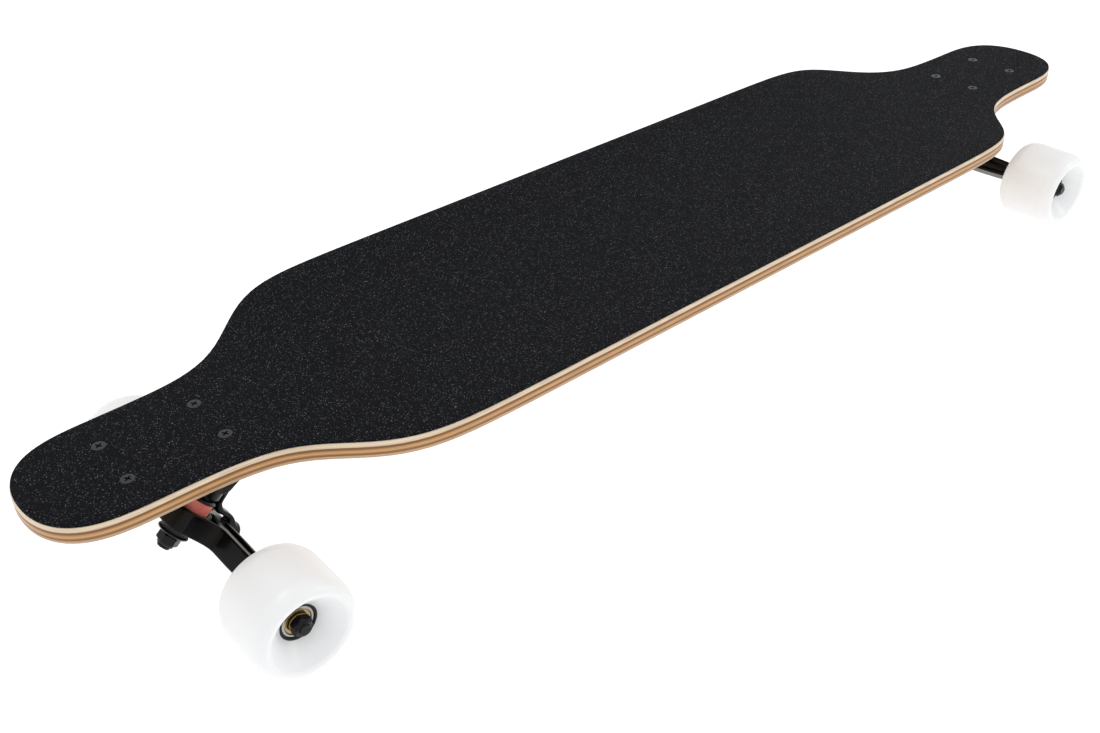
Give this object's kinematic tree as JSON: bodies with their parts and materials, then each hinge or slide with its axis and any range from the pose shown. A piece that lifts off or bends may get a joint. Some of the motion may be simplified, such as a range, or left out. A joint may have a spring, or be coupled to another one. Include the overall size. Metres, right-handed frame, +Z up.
{
  "type": "longboard",
  "caption": "Top-mount cutaway longboard: plied wooden deck with grip tape, sprung reverse-kingpin trucks that steer as it leans, and dished white urethane wheels.",
  "frame": {"origin": "on the ground under the middle of the deck", "axes": "+X towards the front tip, +Y to the rider's left, +Z up"},
  "size_m": [1.044, 0.2594, 0.1218],
  "materials": {
    "maple_plies": "clear lacquered, sanded rail showing eight plies",
    "grip_tape": "coarse black abrasive grit",
    "black_casting": "gloss black powder coat",
    "black_steel": "black oxide",
    "zinc_steel": "yellow passivated zinc",
    "bearing_steel": "ground bearing race with a pressed shield",
    "pink_urethane": "cast translucent urethane",
    "black_urethane": "cast urethane",
    "white_urethane": "cast urethane, satin tread and glossy lips"
  },
  "bodies": {
    "deck": {"deck": "maple_plies", "grip_tape": "grip_tape", "front_deck_bolt_1": "black_steel", "front_lock_nut_1": "black_steel", "front_deck_bolt_2": "black_steel", "front_lock_nut_2": "black_steel", "front_deck_bolt_3": "black_steel", "front_lock_nut_3": "black_steel", "front_deck_bolt_4": "black_steel", "front_lock_nut_4": "black_steel", "front_baseplate": "black_casting", "front_pivot_cup": "black_urethane", "front_kingpin": "black_steel", "front_kingpin_nut": "black_steel", "front_boardside_washer": "black_steel", "front_roadside_washer": "black_steel", "front_boardside_bushing": "pink_urethane", "front_roadside_bushing": "black_urethane", "rear_deck_bolt_1": "black_steel", "rear_lock_nut_1": "black_steel", "rear_deck_bolt_2": "black_steel", "rear_lock_nut_2": "black_steel", "rear_deck_bolt_3": "black_steel", "rear_lock_nut_3": "black_steel", "rear_deck_bolt_4": "black_steel", "rear_lock_nut_4": "black_steel", "rear_baseplate": "black_casting", "rear_pivot_cup": "black_urethane", "rear_kingpin": "black_steel", "rear_kingpin_nut": "black_steel", "rear_boardside_washer": "black_steel", "rear_roadside_washer": "black_steel", "rear_boardside_bushing": "pink_urethane", "rear_roadside_bushing": "black_urethane"},
    "front_hanger": {"front_hanger": "black_casting", "front_axle": "black_steel", "front_left_bearing_sleeve": "zinc_steel", "front_left_axle_nut": "black_steel", "front_right_bearing_sleeve": "zinc_steel", "front_right_axle_nut": "black_steel"},
    "front_left_wheel": {"front_left_wheel": "white_urethane", "front_left_inboard_bearing": "bearing_steel", "front_left_outboard_bearing": "bearing_steel"},
    "front_right_wheel": {"front_right_wheel": "white_urethane", "front_right_inboard_bearing": "bearing_steel", "front_right_outboard_bearing": "bearing_steel"},
    "rear_hanger": {"rear_hanger": "black_casting", "rear_axle": "black_steel", "rear_left_bearing_sleeve": "zinc_steel", "rear_left_axle_nut": "black_steel", "rear_right_bearing_sleeve": "zinc_steel", "rear_right_axle_nut": "black_steel"},
    "rear_left_wheel": {"rear_left_wheel": "white_urethane", "rear_left_inboard_bearing": "bearing_steel", "rear_left_outboard_bearing": "bearing_steel"},
    "rear_right_wheel": {"rear_right_wheel": "white_urethane", "rear_right_inboard_bearing": "bearing_steel", "rear_right_outboard_bearing": "bearing_steel"}
  },
  "joints": [
    {"name": "front_steer", "type": "hinge", "parent": "deck", "child": "front_hanger", "pos_m": [0.43045, 0, 0.0508], "axis": [0.6428, 0, 0.766], "range_deg": [-15, 15], "stiffness_Nm_per_rad": 45, "deforming": ["front_boardside_bushing", "front_roadside_bushing"]},
    {"name": "rear_steer", "type": "hinge", "parent": "deck", "child": "rear_hanger", "pos_m": [-0.43045, 0, 0.0508], "axis": [-0.6428, 0, 0.766], "range_deg": [-15, 15], "stiffness_Nm_per_rad": 45, "deforming": ["rear_boardside_bushing", "rear_roadside_bushing"]},
    {"name": "front_left_wheel_spin", "type": "hinge", "parent": "front_hanger", "child": "front_left_wheel", "pos_m": [0.41755, 0.1027, 0.035], "axis": [0, 1, 0], "continuous": true},
    {"name": "front_right_wheel_spin", "type": "hinge", "parent": "front_hanger", "child": "front_right_wheel", "pos_m": [0.41755, -0.1027, 0.035], "axis": [0, 1, 0], "continuous": true},
    {"name": "rear_left_wheel_spin", "type": "hinge", "parent": "rear_hanger", "child": "rear_left_wheel", "pos_m": [-0.41755, 0.1027, 0.035], "axis": [0, 1, 0], "continuous": true},
    {"name": "rear_right_wheel_spin", "type": "hinge", "parent": "rear_hanger", "child": "rear_right_wheel", "pos_m": [-0.41755, -0.1027, 0.035], "axis": [0, 1, 0], "continuous": true}
  ]
}
